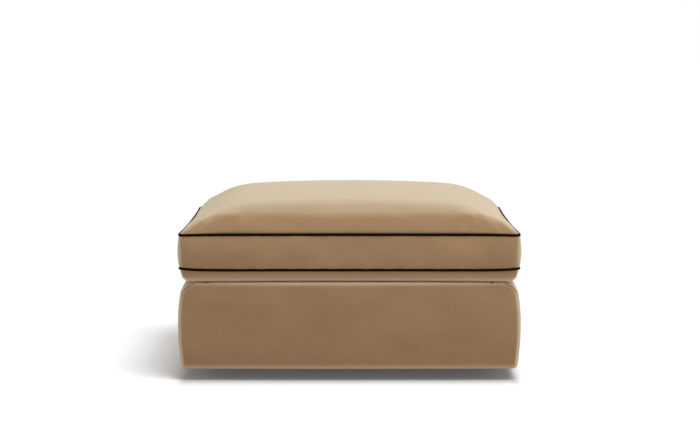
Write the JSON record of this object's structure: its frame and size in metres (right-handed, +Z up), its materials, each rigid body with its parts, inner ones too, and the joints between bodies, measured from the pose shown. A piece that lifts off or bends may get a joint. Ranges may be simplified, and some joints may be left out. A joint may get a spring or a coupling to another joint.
{
  "type": "ottoman",
  "caption": "Low rectangular upholstered ottoman: padded box base on short hidden feet, with a loose, crowned box cushion edged in contrast piping.",
  "frame": {"origin": "on the floor, under the middle of the ottoman", "axes": "+X the ottoman's right, along its long side; -Y its front; +Z up"},
  "size_m": [0.934, 0.6665, 0.5063],
  "materials": {
    "cover_cloth": "tan velvet, short dense pile",
    "cushion_cloth": "tan velvet, short dense pile",
    "deck_cloth": "plain tan decking cloth",
    "welt_cloth": "very dark brown piping cloth, matt",
    "dust_cloth": "black nonwoven under-cloth",
    "padding": "white polyester wadding over foam",
    "foam": "open-cell upholstery foam",
    "fibre": "white polyester fibre wrap",
    "felt": "needled felt",
    "webbing": "woven jute webbing",
    "hardwood": "sawn hardwood, unfinished",
    "board": "fibreboard, unfinished",
    "foot_plastic": "moulded black plastic, satin",
    "glide_nylon": "natural nylon",
    "bolt_steel": "zinc-plated steel",
    "zip_tape": "woven polyester tape",
    "zip_coil": "nylon coil",
    "zip_metal": "die-cast, painted to match"
  },
  "bodies": {
    "base": {"front_cover": "cover_cloth", "rear_cover": "cover_cloth", "left_cover": "cover_cloth", "right_cover": "cover_cloth", "deck_cover": "deck_cloth", "front_padding": "padding", "rear_padding": "padding", "left_padding": "padding", "right_padding": "padding", "deck_foam": "foam", "insulator_pad": "felt", "long_webbing": "webbing", "cross_webbing": "webbing", "corner_post_front_left": "hardwood", "corner_post_front_right": "hardwood", "corner_post_rear_left": "hardwood", "corner_post_rear_right": "hardwood", "lower_front_rail": "hardwood", "lower_rear_rail": "hardwood", "lower_left_rail": "hardwood", "lower_right_rail": "hardwood", "upper_front_rail": "hardwood", "upper_rear_rail": "hardwood", "upper_left_rail": "hardwood", "upper_right_rail": "hardwood", "centre_stretcher": "hardwood", "left_foot_batten": "hardwood", "right_foot_batten": "hardwood", "glue_blocks": "hardwood", "front_board": "board", "rear_board": "board", "left_board": "board", "right_board": "board", "dust_cover": "dust_cloth", "foot_front_left": "foot_plastic", "foot_front_right": "foot_plastic", "foot_rear_left": "foot_plastic", "foot_rear_right": "foot_plastic", "foot_glides": "glide_nylon", "foot_bolts": "bolt_steel"},
    "cushion": {"cushion_core": "foam", "cushion_fibre_top": "fibre", "cushion_fibre_bottom": "fibre", "cushion_top_panel": "cushion_cloth", "cushion_bottom_panel": "cushion_cloth", "front_boxing": "cushion_cloth", "rear_boxing_upper": "cushion_cloth", "rear_boxing_lower": "cushion_cloth", "upper_welt": "welt_cloth", "lower_welt": "welt_cloth", "zip_tape_upper": "zip_tape", "zip_tape_lower": "zip_tape", "zip_coil_upper": "zip_coil", "zip_coil_lower": "zip_coil", "zip_stops": "zip_metal"},
    "zip_slider_body": {"zip_slider": "zip_metal"},
    "zip_pull_body": {"zip_pull": "zip_metal"}
  },
  "joints": [
    {"name": "cushion_lift", "type": "slide", "parent": "base", "child": "cushion", "axis": [0, 0, 1], "range_m": [0, 0.25]},
    {"name": "zip_slide", "type": "slide", "parent": "cushion", "child": "zip_slider_body", "axis": [-1, 0, 0], "range_m": [0, 0.7]},
    {"name": "zip_pull_swing", "type": "hinge", "parent": "zip_slider_body", "child": "zip_pull_body", "pos_m": [0.35025, 0.3332, 0.3508], "axis": [0, 0, 1], "range_deg": [0, 180]}
  ]
}
